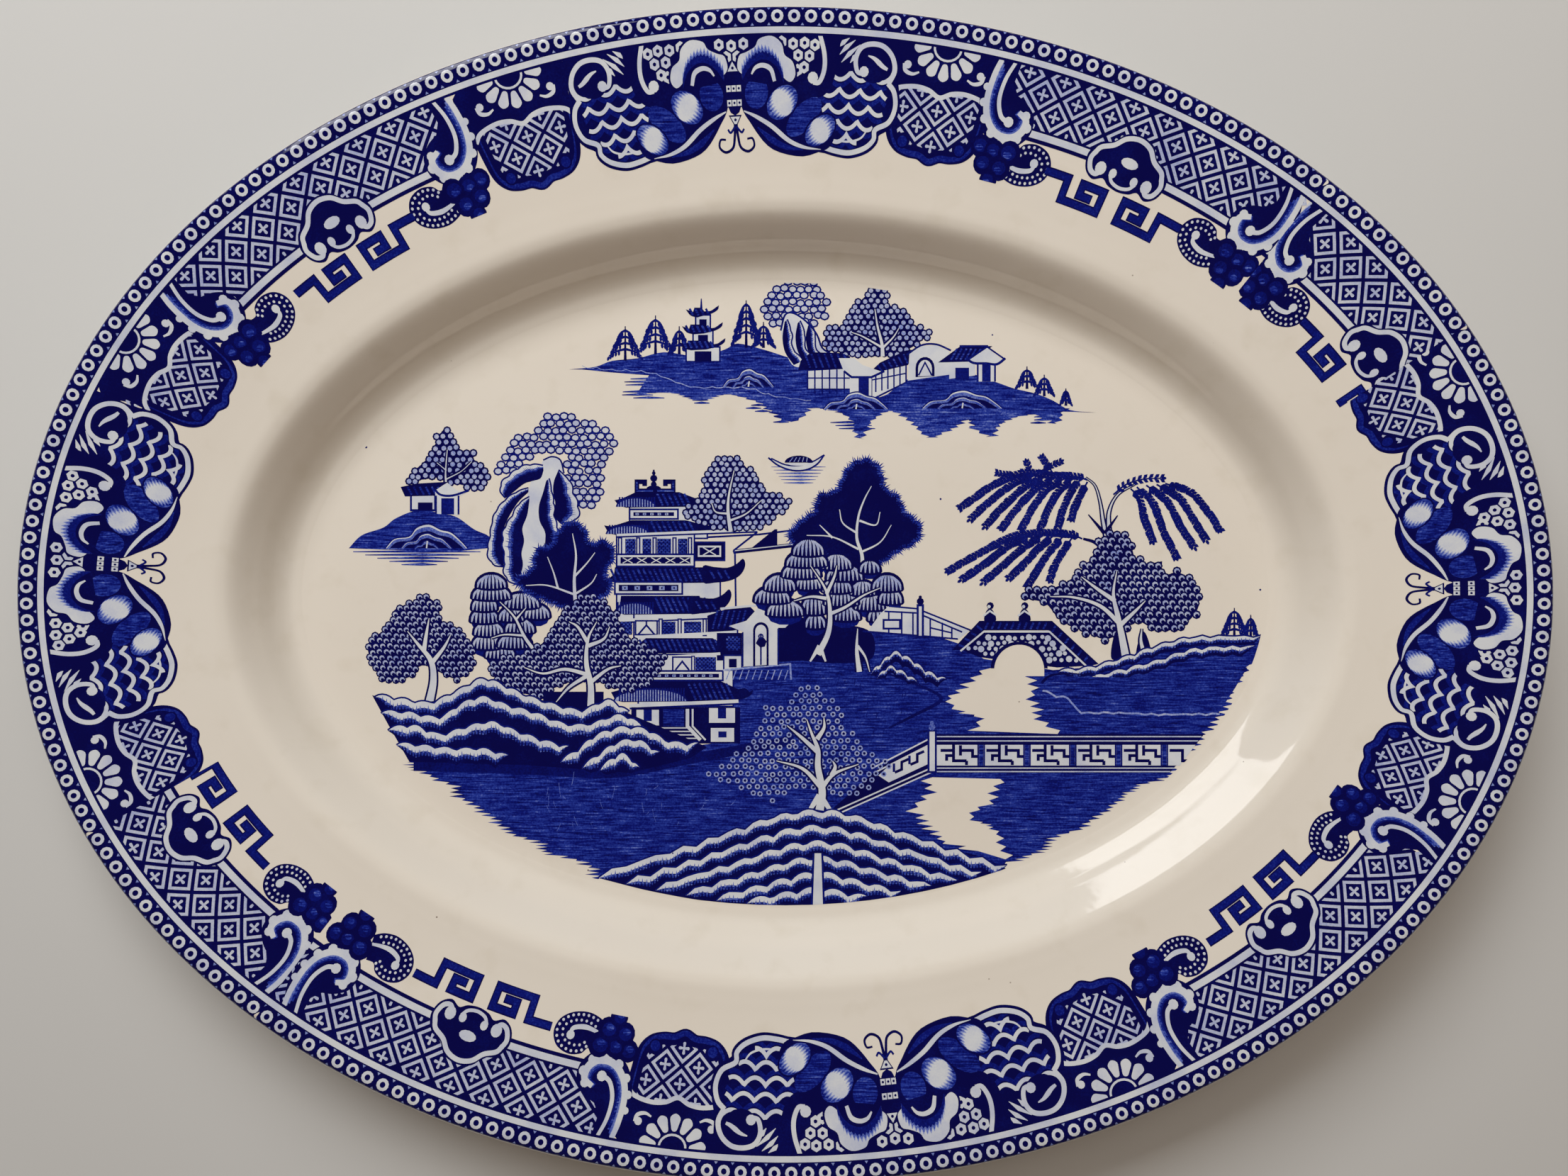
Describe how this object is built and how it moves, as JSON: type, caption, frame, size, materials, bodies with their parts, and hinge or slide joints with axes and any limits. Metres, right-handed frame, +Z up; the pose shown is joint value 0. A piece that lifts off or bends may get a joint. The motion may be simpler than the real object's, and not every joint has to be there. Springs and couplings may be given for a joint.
{
  "type": "serving platter",
  "caption": "Oval glazed earthenware serving platter with a broad sloping rim, a shallow well, a foot ring and blue prints under the glaze.",
  "frame": {"origin": "on the table under the middle of the foot ring", "axes": "+Z up through the well, +X along the long axis, +Y towards the far side, which is the top of the printed scene"},
  "size_m": [0.406, 0.311, 0.03],
  "materials": {
    "earthenware": "bare fired clay, matt",
    "glaze": "clear gloss glaze over cream earthenware",
    "cobalt_print": "cobalt blue transfer print under gloss glaze"
  },
  "bodies": {
    "root": {"earthenware_body": "earthenware", "glaze_coat": "glaze", "glaze_recess": "glaze", "centre_scene_print": "cobalt_print", "border_print_far_filler": "cobalt_print", "border_print_near_right": "cobalt_print", "border_print_near_filler": "cobalt_print", "border_print_far_left": "cobalt_print"}
  },
  "joints": []
}
